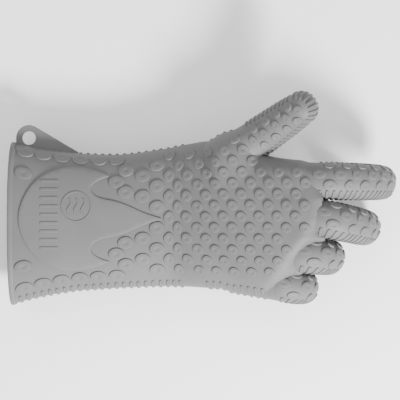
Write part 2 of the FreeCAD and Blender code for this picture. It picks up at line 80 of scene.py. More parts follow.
# Each digit: plan place of its root joint and its lift off the hand's plane, heading and rise in degrees,
# width over height, radius at the root, at each later joint and at the tip, bone lengths, how far each bend
# reaches along its bones, bends in degrees, what the cap takes of the last bone, length and swell of the tube
# behind the root, and how far its pads are rolled round it.
DIGITS = {
    "index": dict(
        root=(108.5, 17.2), lift=-1.0, yaw=-1.0, rise=17.0, widen=1.1, radii=(14.3, 14.0, 13.6, 13.0),
        lengths=(30.0, 21.0, 24.0), gaps=(11.6, 8.7, 6.4), bends=(37.0, 20.0, 15.0),
        end=13.6, stub=34.0, swell=1.2, roll=22.0,
    ),
    "middle": dict(
        root=(111.3, -16.4), lift=0.0, yaw=-12.5, rise=17.0, widen=1.1, radii=(14.3, 14.0, 13.6, 13.0),
        lengths=(33.0, 23.0, 25.0), gaps=(12.6, 9.1, 7.0), bends=(55.0, 28.0, 29.0),
        end=13.6, stub=36.0, swell=1.2, roll=22.0,
    ),
    "ring": dict(
        root=(94.6, -47.1), lift=-1.0, yaw=-8.0, rise=17.0, widen=1.13, radii=(13.8, 13.4, 13.0, 12.4),
        lengths=(29.0, 21.0, 23.0), gaps=(12.8, 8.9, 7.4), bends=(69.0, 33.0, 45.0),
        end=12.8, stub=36.0, swell=1.2, roll=16.0,
    ),
    "little": dict(
        root=(77.6, -74.5), lift=-5.0, yaw=-10.0, rise=17.0, widen=1.13, radii=(12.9, 12.4, 12.0, 11.4),
        lengths=(24.0, 18.0, 20.0), gaps=(11.9, 8.1, 6.7), bends=(72.0, 35.0, 45.0),
        end=11.8, stub=36.0, swell=0.4, roll=10.0,
    ),
    "thumb": dict(
        root=(51.5, 56.8), lift=1.0, yaw=34.0, rise=13.4, widen=1.04, radii=(16.4, 14.8, 13.3),
        lengths=(30.0, 31.0), gaps=(9.0, 8.0), bends=(-11.6, -11.0),
        end=14.4, stub=34.0, swell=4.5, roll=0.0,
    ),
}
FINGER_ZONES = (
    ("base", ("root_sleeve", "base_segment")),
    ("middle", ("middle_sleeve", "middle_segment")),
    ("tip", ("tip_sleeve", "fingertip")),
)
THUMB_ZONES = (
    ("base", ("root_sleeve", "base_segment")),
    ("tip", ("tip_sleeve", "thumbtip")),
)


# ---------------------------------------------------------------- numbers


def smoothstep(t):
    t = np.clip(t, 0.0, 1.0)
    return t * t * (3 - 2 * t)


def unit(v):
    return v / np.linalg.norm(v, axis=-1, keepdims=True)


def running(steps):
    """The sums of the steps so far, from nought."""
    return np.concatenate(((0.0,), np.cumsum(steps)))


def run_lengths(points):
    """How far along a line through the points each one lies."""
    return running(np.linalg.norm(np.diff(points, axis=0), axis=1))


def full_turn(count):
    """Evenly spaced angles once round."""
    return np.linspace(0, 2 * math.pi, count, endpoint=False)


def on_circle(turns):
    return np.stack((np.cos(turns), np.sin(turns)), 1)


def smooth_table(at, xs, ys):
    """A smooth curve through (xs, ys), straight beyond both ends."""
    xs, ys, at = (np.asarray(v, float) for v in (xs, ys, at))
    slopes = np.gradient(ys, xs)
    i = np.clip(np.searchsorted(xs, at) - 1, 0, len(xs) - 2)
    width = xs[i + 1] - xs[i]
    t = (at - xs[i]) / width
    u = np.clip(t, 0, 1)
    curve = (
        (2 * u**3 - 3 * u**2 + 1) * ys[i]
        + (u**3 - 2 * u**2 + u) * width * slopes[i]
        + (-2 * u**3 + 3 * u**2) * ys[i + 1]
        + (u**3 - u**2) * width * slopes[i + 1]
    )
    before = np.where(t < 0, t * width * slopes[i], 0)
    beyond = np.where(t > 1, (t - 1) * width * slopes[i + 1], 0)
    return curve + before + beyond


def smooth_union(a, b, k):
    """Least of two distances, rounded over the width k."""
    k = np.maximum(k, 1e-3)
    mix = np.clip(0.5 + 0.5 * (b - a) / k, 0, 1)
    return b * (1 - mix) + a * mix - k * mix * (1 - mix)


def smooth_common(a, b, k):
    return -smooth_union(-a, -b, k)


# ---------------------------------------------------------------- gauntlet: cuff, wrist and the hand's start

# distance along the arm from the wrist, edge on the thumb side, edge on the little finger's side, half depth
SECTIONS = np.array((
    (-146.5, 50.8, -90.8, 30.0), (-128, 47.2, -86.0, 29.7), (-107, 44.3, -82.0, 29.4),
    (-92, 42.5, -79.8, 29.1),
    (-72, 41.3, -78.3, 28.7), (-54, 41.2, -77.2, 28.3), (-40, 42.5, -76.6, 28.0), (-27, 44.4, -76.1, 27.5),
    (-12, 46.7, -75.8, 27.0), (0, 49.0, -75.9, 27.0), (12, 51.2, -76.3, 26.8), (28, 53.0, -77.0, 26.3),
    (45, 51.5, -77.2, 25.6), (56, 48.5, -77.6, 25.0), (68, 44.0, -78.2, 23.8), (87, 36.5, -79.5, 21.2),
    (103, 33.0, -81.0, 19.2), (119, 32.0, -82.0, 18.0),
))
SQUARENESS = 2.3
MOUTH, JOIN = -146.5, 25.0  # the ends of the gauntlet, where JOIN is its seam with the hand
BEND_START, BEND_RADIUS = -12.0, 80.3
WRIST_BLEND = 14.0


def section(s):
    """Middle, half width and half depth of the sleeve at a distance s past the wrist."""
    top, bottom, depth = (smooth_table(s, SECTIONS[:, 0], SECTIONS[:, k]) for k in (1, 2, 3))
    return (top + bottom) / 2, (top - bottom) / 2, depth


def sleeve_point(s, y, rise):
    """The point at s along the bent arm, y across it and 'rise' above its middle plane."""
    turn = np.clip((s - BEND_START) / BEND_RADIUS, 0, RISE)
    rest = s - BEND_START - turn * BEND_RADIUS
    before, after = np.minimum(rest, 0), np.maximum(rest, 0)
    x = WRIST[0] + BEND_START + before + BEND_RADIUS * np.sin(turn) + after * math.cos(RISE)
    z = WRIST[2] + BEND_RADIUS * (1 - np.cos(turn)) + after * math.sin(RISE)
    return np.stack((x - rise * np.sin(turn), y + SHIFT[1], z + rise * np.cos(turn)), -1)


def sleeve_at(s, angle):
    middle, width, depth = section(s)
    c, n = np.cos(angle), np.sin(angle)
    power = 2 / SQUARENESS
    return sleeve_point(
        s, middle + width * np.sign(c) * np.abs(c) ** power, depth * np.sign(n) * np.abs(n) ** power
    )


def sleeve(s, angle):
    """Point and outward normal of the gauntlet. Angle 0 is the thumb's side, a quarter turn the back."""
    s, angle = np.broadcast_arrays(np.asarray(s, float), np.asarray(angle, float))
    here = sleeve_at(s, angle)
    _, width, depth = section(s)
    turn = np.clip((s - BEND_START) / BEND_RADIUS, 0, RISE)
    c, n = np.cos(angle), np.sin(angle)
    power = 2 * (SQUARENESS - 1) / SQUARENESS
    across = np.sign(c) * np.abs(c) ** power / width
    upward = np.sign(n) * np.abs(n) ** power / depth
    normal = np.stack((-upward * np.sin(turn), across, upward * np.cos(turn)), -1)
    ahead = np.stack((np.cos(turn), np.zeros_like(turn), np.sin(turn)), -1)
    slope = sleeve_at(s + 0.5, angle) - sleeve_at(s - 0.5, angle)
    lean = (normal * slope).sum(-1) / (ahead * slope).sum(-1)
    return here, unit(normal - lean[..., None] * ahead)


def sleeve_angle(s, y, side):
    """The section's angle at y across, on the back (side 1) or the palm side (-1)."""
    middle, width, _ = section(s)
    u = np.clip((y - middle) / width, -1, 1)
    v = (1 - np.abs(u) ** SQUARENESS) ** (1 / SQUARENESS)
    half = SQUARENESS / 2
    return np.arctan2(side * v**half, np.sign(u) * np.abs(u) ** half)


def sleeve_spot(s, angle, toward):
    """Maps a pad's own plane onto the gauntlet: a along the arm, b round it with the sign 'toward'."""
    half_steps = 80
    steps = np.linspace(-1.0, 1.0, 2 * half_steps + 1)
    arc = sleeve_at(np.full_like(steps, s), angle + toward * steps)
    length = run_lengths(arc)
    length -= length[half_steps]

    def mapped(a, b):
        turned = angle + toward * np.interp(b, length, steps)
        points, normals = sleeve(s + a, turned)
        return points, normals, s + a

    return mapped


def plan_spot(side):
    """Maps plan coordinates (x, y) straight down onto the gauntlet."""

    def mapped(x, y):
        s = x - DRAWN_WRIST[0]
        points, normals = sleeve(s, sleeve_angle(s, y, side))
        return points, normals, s

    return mapped


# ---------------------------------------------------------------- digits


class Digit:
    """A bent tube along one vertical plane, closed by a round cap."""

    STEP = 0.25  # between the stored places along the axis
    LEAD = 4.0  # how far the axis is stored behind the root plane

    def __init__(self, root, lift, yaw, rise, widen, radii, lengths, gaps, bends, end, stub, swell, roll):
        self.widen, self.stub, self.swell = widen, stub, swell
        self.roll = math.radians(roll)
        yaw, drop = math.radians(yaw), -math.radians(rise)
        self.heading = np.array((math.cos(yaw), math.sin(yaw), 0.0))
        self.lateral = np.array((-math.sin(yaw), math.cos(yaw), 0.0))
        height = DRAWN_WRIST[2] + (root[0] - DRAWN_WRIST[0]) * math.tan(RISE) + lift
        self.before = self.direction(drop)
        self.plane = np.array((*root, height)) + SHIFT - self.before * gaps[0]

        runs = [(self.LEAD, 0.0)]
        self.joints, self.cuts = [], [0.0]
        at = 0.0
        for k, (length, gap, bend) in enumerate(zip(lengths, gaps, bends)):
            turn = math.radians(bend)
            arc = gap / math.tan(abs(turn) / 2) * abs(turn)
            ahead = gaps[k + 1] if k + 1 < len(gaps) else end
            straight = length - gap - ahead
            runs += [(arc, turn), (straight, 0.0)]
            self.joints.append((at, at + arc))
            at += arc + straight
            self.cuts.append(at - straight / 2)
        self.length = at
        self.radius_at = [0.0] + [sum(pair) / 2 for pair in self.joints[1:]] + [self.length]
        self.radii = radii
        self.cap = radii[-1]
        self.cuts[-1] = self.length + self.cap * math.pi / 2

        counts = [max(1, round(run / self.STEP)) for run, _ in runs]
        steps = np.concatenate([np.full(n, run / n) for n, (run, _) in zip(counts, runs)])
        turns = np.concatenate([np.full(n, turn / n) for n, (_, turn) in zip(counts, runs)])
        angles = drop + np.cumsum(turns) - turns / 2
        self.at = running(steps) - self.LEAD
        self.flat = running(steps * np.cos(angles)) - self.LEAD * math.cos(drop)
        self.high = running(-steps * np.sin(angles)) + self.LEAD * math.sin(drop)
        self.drop = np.concatenate(((drop,), drop + np.cumsum(turns)))

    def direction(self, drop):
        return self.heading * math.cos(drop) + np.array((0.0, 0.0, -math.sin(drop)))

    def axes(self, s):
        """Centre, direction and upward normal of the tube at s past its root plane."""
        s = np.asarray(s, float)
        along = np.minimum(s, self.length)
        flat, high, drop = (np.interp(along, self.at, v) for v in (self.flat, self.high, self.drop))
        level = np.array((0.0, 0.0, 1.0))
        centre = self.plane + flat[..., None] * self.heading + high[..., None] * level
        ahead = np.cos(drop)[..., None] * self.heading - np.sin(drop)[..., None] * level
        above = np.sin(drop)[..., None] * self.heading + np.cos(drop)[..., None] * level
        return centre, ahead, above

    def radius(self, s):
        return np.interp(s, self.radius_at, self.radii)

    def surface(self, s, angle):
        """Point and normal. Angle 0 is the lateral side, a quarter turn the back. Past the end is the cap."""
        s, angle = np.broadcast_arrays(np.asarray(s, float), np.asarray(angle, float))
        centre, ahead, above = self.axes(s)
        tilt = np.clip((s - self.length) / self.cap, 0, math.pi / 2)
        c, n, level = np.cos(angle)[..., None], np.sin(angle)[..., None], np.cos(tilt)[..., None]
        lift = np.sin(tilt)[..., None]
        radius = self.radius(s)[..., None]
        points = centre + radius * (level * (c * self.widen * self.lateral + n * above) + lift * ahead)
        normals = unit(level * (c / self.widen * self.lateral + n * above) + lift * ahead)
        return points, normals

    def spot(self, s, angle, toward):
        """Maps a pad's own plane onto the digit: a along it, b round it."""
        tilt = max(0.0, (s - self.length) / self.cap)
        reach = self.radius(s) * max(math.cos(tilt), 0.35)

        def mapped(a, b):
            points, normals = self.surface(s + a, angle + toward * b / reach)
            return points, normals, s + a

        return mapped

    def cap_spot(self, turn):
        """Maps a rib's plane onto the cap's edge: a along the parting line, b across it."""
        centre, ahead, above = self.axes(self.length)

        def mapped(a, b):
            round_edge = (turn + a / self.cap)[..., None]
            over = (b / self.cap)[..., None]
            ring = np.cos(round_edge) * self.widen * self.lateral + np.sin(round_edge) * ahead
            flat = np.cos(round_edge) / self.widen * self.lateral + np.sin(round_edge) * ahead
            points = centre + self.cap * (np.cos(over) * ring + np.sin(over) * above)
            normals = unit(np.cos(over) * flat + np.sin(over) * above)
            return points, normals, np.full(np.shape(a), self.length + self.cap)

        return mapped

    def stub_distance(self, points):
        """Signed distance to the tube behind the root plane, as the hand's surface takes it in."""
        away = points - self.plane
        along = away @ self.before
        above = np.cross(self.before, self.lateral)
        side, high = away @ self.lateral, away @ above
        back = np.clip(-along / self.stub, 0, 1)
        radius = self.radii[0] + self.swell * smoothstep(back) - 0.3 * smoothstep((along + 1.8) / 2.0)
        rho = np.sqrt((side / self.widen) ** 2 + high**2) + 1e-6
        slope = np.sqrt((side / self.widen**2) ** 2 + high**2) / rho
        tube = (rho - radius) / slope
        start = -along - self.stub
        behind = np.sqrt(np.maximum(start, 0) ** 2 + np.maximum(rho, 0) ** 2) - radius
        return np.maximum(np.where(start > 0, behind, tube), along - 1.0), -along


digits = {name: Digit(**sizes) for name, sizes in DIGITS.items()}


# ---------------------------------------------------------------- hand

FRONT = np.array((
    (-90, 57), (-74.5, 68), (-61, 78), (-47, 86), (-32, 98), (-16.4, 105), (1.5, 108), (16.5, 103), (32, 95),
), float)
# between neighbouring fingers: plan place, drop below the hand's plane, half length, half width, half depth
WEBS = (
    (100.0, 1.2, -1.5, 10.0, 5.0, 9.5),
    (95.0, -31.5, -2.5, 12.0, 5.0, 10.0),
    (77.5, -60.0, -4.0, 11.0, 5.0, 10.0),
)


def hand_frame(points):
    """Along, across (plan y) and above the hand's plane, from the wrist."""
    away = points - WRIST
    return away @ AHEAD, points[..., 1] - SHIFT[1], away @ UPWARD


def from_hand_frame(s, y, rise):
    across = y - DRAWN_WRIST[1]
    return WRIST + s[..., None] * AHEAD + across[..., None] * SIDEWAYS + rise[..., None] * UPWARD


def palm_distance(s, y, rise):
    middle, width, depth = section(s)
    u, v = np.abs(y - middle) / width, np.abs(rise) / depth
    level = (u**SQUARENESS + v**SQUARENESS) ** (1 / SQUARENESS) + 1e-6
    power = SQUARENESS - 1
    slope = np.sqrt(((u / level) ** power / width) ** 2 + ((v / level) ** power / depth) ** 2)
    return (level - 1) / slope


def hand_distance(points):
    """Signed distance to the hand's skin: the palm, the root of each digit and the webs, melted together."""
    s, y, rise = hand_frame(points)
    front = (s - (np.interp(y, FRONT[:, 0], FRONT[:, 1]) - DRAWN_WRIST[0]) / math.cos(RISE)) * 0.9
    distance = smooth_common(palm_distance(s, y, rise), front, 14.0)
    for name, digit in digits.items():
        stub, behind = digit.stub_distance(points)
        width = {"thumb": 16.0, "little": 6.0}.get(name, 9.0)
        width = width * smoothstep((behind + 0.5) / 14.0) * smoothstep((s - JOIN) / 18.0)
        distance = smooth_union(distance, stub, width)
    for x, across, drop, length, breadth, depth in WEBS:
        along = (s - (x - DRAWN_WRIST[0]) / math.cos(RISE)) / length
        level = np.sqrt(along**2 + ((y - across) / breadth) ** 2 + ((rise - drop) / depth) ** 2)
        distance = smooth_union(distance, (level - 1) * breadth, 5.0)
    return distance + TUCK * (1 - smoothstep((s - JOIN + 0.8) / 2.0))


def gradient(field, points, step=0.2):
    parts = []
    for axis in range(3):
        move = np.zeros(3)
        move[axis] = step
        parts.append((field(points + move) - field(points - move)) / (2 * step))
    return np.stack(parts, -1)


def settle(field, points, rounds):
    """Moves points onto the field's zero."""
    for _ in range(rounds):
        slope = gradient(field, points)
        size = (slope**2).sum(-1, keepdims=True) + 1e-6
        step = field(points)[..., None] * slope / size
        points = points - np.clip(step, -1.5, 1.5)
    return points


def surface_nets(values, origin, step):
    """Quads round the zero of a grid of values."""
    inside = values < 0
    shape = np.array(values.shape) - 1
    total, count = np.zeros((*shape, 3)), np.zeros(shape)
    corners = [(i, j, k) for i in (0, 1) for j in (0, 1) for k in (0, 1)]

    def corner(array, offset):
        i, j, k = offset
        return array[i : i + shape[0], j : j + shape[1], k : k + shape[2]]

    for start in corners:
        for axis in range(3):
            if start[axis]:
                continue
            finish = tuple(1 if n == axis else v for n, v in enumerate(start))
            a, b = corner(values, start), corner(values, finish)
            crossed = (a < 0) != (b < 0)
            part = np.where(crossed, a / np.where(crossed, a - b, 1), 0)
            place = np.zeros((*shape, 3)) + np.array(start)
            place[..., axis] += part
            total += place * crossed[..., None]
            count += crossed
    used = count > 0
    number = np.full(tuple(shape), -1)
    number[used] = np.arange(used.sum())
    cells = np.argwhere(used)
    points = origin + (cells + total[used] / count[used][:, None]) * step
    quads = []
    for axis in range(3):
        one, two = (axis + 1) % 3, (axis + 2) % 3
        near = [slice(1, -1)] * 3
        near[axis] = slice(0, -1)
        far = list(near)
        far[axis] = slice(1, None)
        a, b = inside[tuple(near)], inside[tuple(far)]
        spots = np.argwhere(a != b)
        low = np.ones(3, int)
        low[axis] = 0
        spots = spots + low
        outward = a[a != b]
        around = []
        for first, second in ((0, 0), (1, 0), (1, 1), (0, 1)):
            move = np.zeros(3, int)
            move[one], move[two] = -first, -second
            cell = spots + move
            around.append(number[cell[:, 0], cell[:, 1], cell[:, 2]])
        ring = np.stack(around, 1)
        ring[~outward] = ring[~outward][:, ::-1]
        quads.append(ring)
    return points, np.concatenate(quads)


def relax(points, quads, rounds):
    """Evens out the quads by moving each point towards its neighbours' mean."""
    edges = np.concatenate([quads[:, (k, (k + 1) % 4)] for k in range(4)])
    edges = np.unique(np.sort(edges, axis=1), axis=0)
    degree = np.zeros(len(points))
    np.add.at(degree, edges.ravel(), 1)
    for _ in range(rounds):
        total = np.zeros_like(points)
        np.add.at(total, edges[:, 0], points[edges[:, 1]])
        np.add.at(total, edges[:, 1], points[edges[:, 0]])
        points = points + 0.5 * (total / np.maximum(degree, 1)[:, None] - points)
    return points


WRIST_END, WRIST_CUT = 1.2, 0.9  # how far behind JOIN the hand's skin is closed, and then cut open
ROOT_END, ROOT_RIM = 0.2, 0.9  # where it is taken off over a digit's root: past the plane, inside the edge


def hand_skin(field, step):
    """The hand's surface with its ends taken off: at the wrist and at each digit's root plane."""
    low, high = np.array((JOIN - 3.0, -93.0, -33.0)), np.array((131.0, 82.0, 37.0))
    axes = [np.arange(a, b, step) for a, b in zip(low, high)]
    grid = np.stack(np.meshgrid(*axes, indexing="ij"), -1)
    world = from_hand_frame(grid[..., 0], grid[..., 1], grid[..., 2])
    values = np.maximum(field(world), JOIN - WRIST_END - grid[..., 0])
    points, quads = surface_nets(values, low, step)
    points = from_hand_frame(points[:, 0], points[:, 1], points[:, 2])

    def capped(p):
        return np.maximum(field(p), JOIN - WRIST_END - (p - WRIST) @ AHEAD)

    for _ in range(3):
        points = settle(capped, relax(points, quads, 2), 2)
    points = settle(capped, points, 3)
    middles = points[quads].mean(1)
    keep = (middles - WRIST) @ AHEAD > JOIN - WRIST_CUT
    for digit in digits.values():
        away = middles - digit.plane
        along = away @ digit.before
        off = np.linalg.norm(away - along[:, None] * digit.before, axis=1)
        inside = off < digit.radii[0] - ROOT_RIM
        keep &= ~((along > ROOT_END) & (along < ROOT_END + 2.5) & inside)
    used = np.unique(quads[keep])
    renumber = np.full(len(points), -1)
    renumber[used] = np.arange(len(used))
    return points[used], renumber[quads[keep]]


# ---------------------------------------------------------------- meshes


def new_object(name, points, faces, normals=None):
    mesh = bpy.data.meshes.new(name)
    mesh.from_pydata((np.asarray(points) * MM).tolist(), [], [tuple(int(i) for i in face) for face in faces])
    mesh.shade_smooth()
    if normals is not None:
        mesh.normals_split_custom_set_from_vertices(normals.tolist())
    obj = bpy.data.objects.new(name, mesh)
    bpy.context.scene.collection.objects.link(obj)
    return obj


def bend(obj, along, a, b, start, end):
    """Puts each point at its distance along the tube, bakes the object's transform into the mesh and puts the
    points back; the two bodies and the span are not used.
    """
    mesh = obj.data
    count = len(mesh.vertices)
    real = np.empty(count * 3)
    mesh.vertices.foreach_get("co", real)
    unrolled = np.zeros((count, 3))
    unrolled[:, 0] = np.asarray(along) * MM
    mesh.vertices.foreach_set("co", unrolled.ravel())
    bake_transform(obj)
    mesh.vertices.foreach_set("co", real)
    mesh.update()


def grid_faces(rows, columns, closed):
    faces = []
    across = columns if closed else columns - 1
    for i in range(rows - 1):
        for j in range(across):
            k = (j + 1) % columns
            faces.append((i * columns + j, i * columns + k, (i + 1) * columns + k, (i + 1) * columns + j))
    return faces


def moved(faces, start):
    """The faces with all their indices raised by 'start'."""
    return [tuple(int(i) + start for i in face) for face in faces]


def wound(points, faces, normals):
    """The faces, turned round if they face against the normals on the whole."""
    score = 0.0
    for face in faces[:: max(1, len(faces) // 60)]:
        a, b, c = (points[i] for i in face[:3])
        score += float(np.dot(np.cross(b - a, c - b), normals[face[0]]))
    return faces if score > 0 else [tuple(reversed(face)) for face in faces]


def tube_skin(name, surface, stations, segments, closed_end=False):
    """Outer and inner skin of a tube from rings at the stations, joined by the cut edges."""
    s, angle = np.meshgrid(np.asarray(stations, float), full_turn(segments), indexing="ij")
    outer, normals = surface(s.ravel(), angle.ravel())
    rows = len(stations)
    faces = wound(outer, grid_faces(rows, segments, True), normals)
    inner = outer - normals * WALL
    count = len(outer)
    inside = [tuple(reversed(face)) for face in moved(faces, count)]
    points = np.concatenate((outer, inner))
    shading = np.concatenate((normals, -normals))
    along = np.concatenate((s.ravel(), s.ravel()))
    faces = faces + inside
    last = (rows - 1) * segments
    for row, beside in ((0, segments), (last, last - segments)):
        if row == last and closed_end:
            continue
        ring = [
            (row + j, row + (j + 1) % segments, count + row + (j + 1) % segments, count + row + j)
            for j in range(segments)
        ]
        a, b, c = (points[i] for i in ring[0][:3])
        if np.dot(np.cross(b - a, c - b), points[row] - points[beside]) < 0:
            ring = [tuple(reversed(face)) for face in ring]
        faces += ring
    if closed_end:
        for base in (last, count + last):
            fan = tuple(base + j for j in range(segments))
            centre = points[list(fan)].mean(0)
            a, b = points[fan[0]], points[fan[1]]
            facing = np.dot(np.cross(a - centre, b - centre), shading[base])
            faces.append(fan if facing > 0 else tuple(reversed(fan)))
    return new_object(name, points, faces, shading), along


# ---------------------------------------------------------------- raised pads


class Relief:
    """Gathers many raised pads into one mesh."""

    def __init__(self):
        self.points, self.faces, self.along, self.count = [], [], [], 0

    def add(self, pad, spot):
        flat, heights, faces = pad
        points, normals, along = spot(flat[:, 0], flat[:, 1])
        raised = points + normals * heights[:, None]
        faces = wound(raised, faces, normals)
        self.points.append(raised)
        self.along.append(np.broadcast_to(along, (len(raised),)))
        self.faces += moved(faces, self.count)
        self.count += len(raised)

    def build(self, name):
        obj = new_object(name, np.concatenate(self.points), self.faces)
        obj.data.set_sharp_from_angle(angle=SHARP)
        return obj, np.concatenate(self.along)


def spaced(outline, step):
    """A closed outline with evenly spaced points."""
    loop = np.vstack((outline, outline[:1]))
    length = run_lengths(loop)
    count = max(8, round(length[-1] / step))
    at = np.linspace(0, length[-1], count, endpoint=False)
    return np.stack([np.interp(at, length, loop[:, k]) for k in (0, 1)], 1)


def outward(outline):
    """Each point's outward normal on a closed outline drawn anticlockwise."""
    along = np.roll(outline, -1, axis=0) - np.roll(outline, 1, axis=0)
    return unit(np.stack((along[:, 1], -along[:, 0]), 1))


def anticlockwise(outline):
    x, y = outline[:, 0], outline[:, 1]
    area = (x * np.roll(y, -1) - np.roll(x, -1) * y).sum()
    return outline if area > 0 else outline[::-1]


def filled(outlines, grid, margin):
    """Triangles inside closed outlines, with staggered points so that they can follow a curved skin."""
    points = [tuple(p) for outline in outlines for p in outline]
    edges, start = [], 0
    for outline in outlines:
        count = len(outline)
        edges += [(start + i, start + (i + 1) % count) for i in range(count)]
        start += count
    everything = np.vstack(outlines)
    low, high = everything.min(0), everything.max(0)
    inner = []
    for row, y in enumerate(np.arange(low[1], high[1], grid * 0.87)):
        for x in np.arange(low[0] + grid / 2 * (row % 2), high[0], grid):
            if np.min(np.hypot(everything[:, 0] - x, everything[:, 1] - y)) > margin:
                inner.append((x, y))
    coords = [Vector(p) for p in points + inner]
    made = delaunay_2d_cdt(coords, edges, [], 1, 1e-5)
    triangles = np.array([tuple(face) for face in made[2]])
    places = np.array([tuple(v) for v in made[0]])
    centres = places[triangles].mean(1)
    keep = np.zeros(len(triangles), bool)
    for outline in outlines:
        keep ^= within(outline, centres)
    return places, triangles[keep]


def within(outline, points):
    """Which points lie inside a closed outline."""
    inside = np.zeros(len(points), bool)
    following = np.roll(outline, -1, axis=0)
    for (x1, y1), (x2, y2) in zip(outline, following):
        if y1 == y2:
            continue
        crosses = (y1 > points[:, 1]) != (y2 > points[:, 1])
        inside ^= crosses & (points[:, 0] < (x2 - x1) * (points[:, 1] - y1) / (y2 - y1) + x1)
    return inside


def pad_template(outline, height, grid, low=-0.4, edge=0.3, foot=0.5):
    """A raised pad: a buried foot, an upright side, a narrow rounded edge and a filled top."""
    outline = anticlockwise(np.asarray(outline, float))
    out = outward(outline)
    count = len(outline)
    inset = outline - out * edge
    rings = [
        (outline + out * foot, low),
        (outline + out * foot * 0.35, (max(low, 0.0) + height) * 0.4),
        (outline, height - edge),
        (outline - out * edge * 0.3, height - edge * 0.3),
    ]
    flat = [ring for ring, _ in rings]
    heights = [np.full(count, level) for _, level in rings]
    faces = grid_faces(len(rings), count, True)
    places, triangles = filled([inset], grid, grid * 0.55)
    start = len(rings) * count
    flat.append(places)
    heights.append(np.full(len(places), height))
    top = (len(rings) - 1) * count
    faces += [(top + i, top + (i + 1) % count, start + (i + 1) % count, start + i) for i in range(count)]
    faces += moved(triangles, start)
    return np.vstack(flat), np.concatenate(heights), faces


def nub_pad(length, width):
    """An oval grip pad with a round dimple in its middle, the same on every side."""
    ring = on_circle(full_turn(36))
    half = np.array((length, width)) / 2
    profile = (  # share of the half size, millimetres beyond it, height
        (1.0, 0.45, -0.4), (1.0, 0.15, RELIEF * 0.42), (1.0, 0.0, RELIEF * 0.78), (1.0, -0.12, RELIEF * 0.95),
        (1.0, -0.4, RELIEF), (0.6, 0.0, RELIEF * 1.05), (0.33, 0.0, RELIEF * 1.03),
        (0.26, 0.0, RELIEF * 0.94), (0.18, 0.0, RELIEF * 0.82),
    )
    flat = [ring * (half * share + beyond) for share, beyond, _ in profile]
    heights = [np.full(len(ring), level) for _, _, level in profile]
    faces = grid_faces(len(profile), len(ring), True)
    last, centre = (len(profile) - 1) * len(ring), len(profile) * len(ring)
    faces += [(last + i, last + (i + 1) % len(ring), centre) for i in range(len(ring))]
    return np.vstack((*flat, (0.0, 0.0))), np.concatenate((*heights, (RELIEF * 0.78,))), faces


def bar_outline(length, width, rounding):
    """A bar along b with rounded ends."""
    corner = np.linspace(0, math.pi / 2, 4)
    points = []
    for k, (sx, sy) in enumerate(((1, 1), (-1, 1), (-1, -1), (1, -1))):
        turned = corner + k * math.pi / 2
        points.append(
            np.stack((
                sx * (width / 2 - rounding) + rounding * np.cos(turned),
                sy * (length / 2 - rounding) + rounding * np.sin(turned),
            ), 1)
        )
    return np.vstack(points)


def rib_template(length, width, height):
    """A rounded rib along b: rows across a low arch, tapering at both ends, from a buried foot."""
    low = -0.5
    along = np.concatenate((
        -np.array((0.5, 0.485, 0.46, 0.42)), np.linspace(-0.34, 0.34, 9), np.array((0.42, 0.46, 0.485, 0.5)),
    )) * length
    across = np.array((-0.62, -0.5, -0.4, -0.2, 0.0, 0.2, 0.4, 0.5, 0.62))
    flank_levels = np.array((low, height * 0.55, height * 0.9, height))
    levels = np.concatenate((flank_levels, (height * 1.03,), flank_levels[::-1]))
    squeeze = np.sqrt(np.clip(1 - (np.abs(along) / (length / 2)) ** 6, 0.02, 1))
    flat = np.stack((
        (across[None, :] * width * squeeze[:, None]).ravel(), np.repeat(along, len(across)),
    ), 1)
    fall = np.clip((squeeze - 0.14) / 0.5, 0, 1)
    heights = (low + (levels[None, :] - low) * fall[:, None]).ravel()
    return flat, heights, grid_faces(len(along), len(across), False)


# ---------------------------------------------------------------- materials


def silicone(name, grey, roughness, grain):
    """Matte moulded silicone: fine grain, faint mottling and a worn sheen that varies a little."""
    material = bpy.data.materials.new(name)
    material.use_nodes = True
    nodes, links = material.node_tree.nodes, material.node_tree.links
    shader = nodes["Principled BSDF"]
    place = nodes.new("ShaderNodeTexCoord")
    shader.inputs["Metallic"].default_value = 0.0
    shader.inputs["IOR"].default_value = 1.42
    shader.inputs["Specular IOR Level"].default_value = 0.35

    mottle = nodes.new("ShaderNodeTexNoise")
    mottle.inputs["Scale"].default_value = 26.0
    mottle.inputs["Detail"].default_value = 4.0
    tones = nodes.new("ShaderNodeValToRGB")
    tones.color_ramp.elements[0].position, tones.color_ramp.elements[1].position = 0.32, 0.7
    for element, level in zip(tones.color_ramp.elements, (grey * 0.94, grey * 1.05)):
        element.color = (level, level, level * 1.01, 1.0)
    sheen = nodes.new("ShaderNodeMapRange")
    sheen.inputs["To Min"].default_value = roughness - 0.05
    sheen.inputs["To Max"].default_value = roughness + 0.07
    fine = nodes.new("ShaderNodeTexNoise")
    fine.inputs["Scale"].default_value = 2200.0
    fine.inputs["Detail"].default_value = 2.0
    bump = nodes.new("ShaderNodeBump")
    bump.inputs["Strength"].default_value = grain
    bump.inputs["Distance"].default_value = 0.00025
    for texture in (mottle, fine):
        links.new(place.outputs["Object"], texture.inputs["Vector"])
    links.new(mottle.outputs["Fac"], tones.inputs["Fac"])
    links.new(tones.outputs["Color"], shader.inputs["Base Color"])
    links.new(mottle.outputs["Fac"], sheen.inputs["Value"])
    links.new(sheen.outputs["Result"], shader.inputs["Roughness"])
    links.new(fine.outputs["Fac"], bump.inputs["Height"])
    links.new(bump.outputs["Normal"], shader.inputs["Normal"])
    return material


matte = silicone("matte_silicone", 0.112, 0.56, 0.35)
satin = silicone("satin_silicone", 0.116, 0.5, 0.25)


def finish_piece(obj, nodes, smooth=False):
    obj.data.materials.append(satin if smooth else matte)
    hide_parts(*nodes)


def wrist_bend(obj, along):
    bend(obj, along, "cuff", "hand", -WRIST_BLEND, WRIST_BLEND)


# ---------------------------------------------------------------- build: skins

stations = np.concatenate((np.arange(MOUTH, -30, 3.0), np.arange(-30, JOIN, 1.5), (JOIN, JOIN + 0.6)))


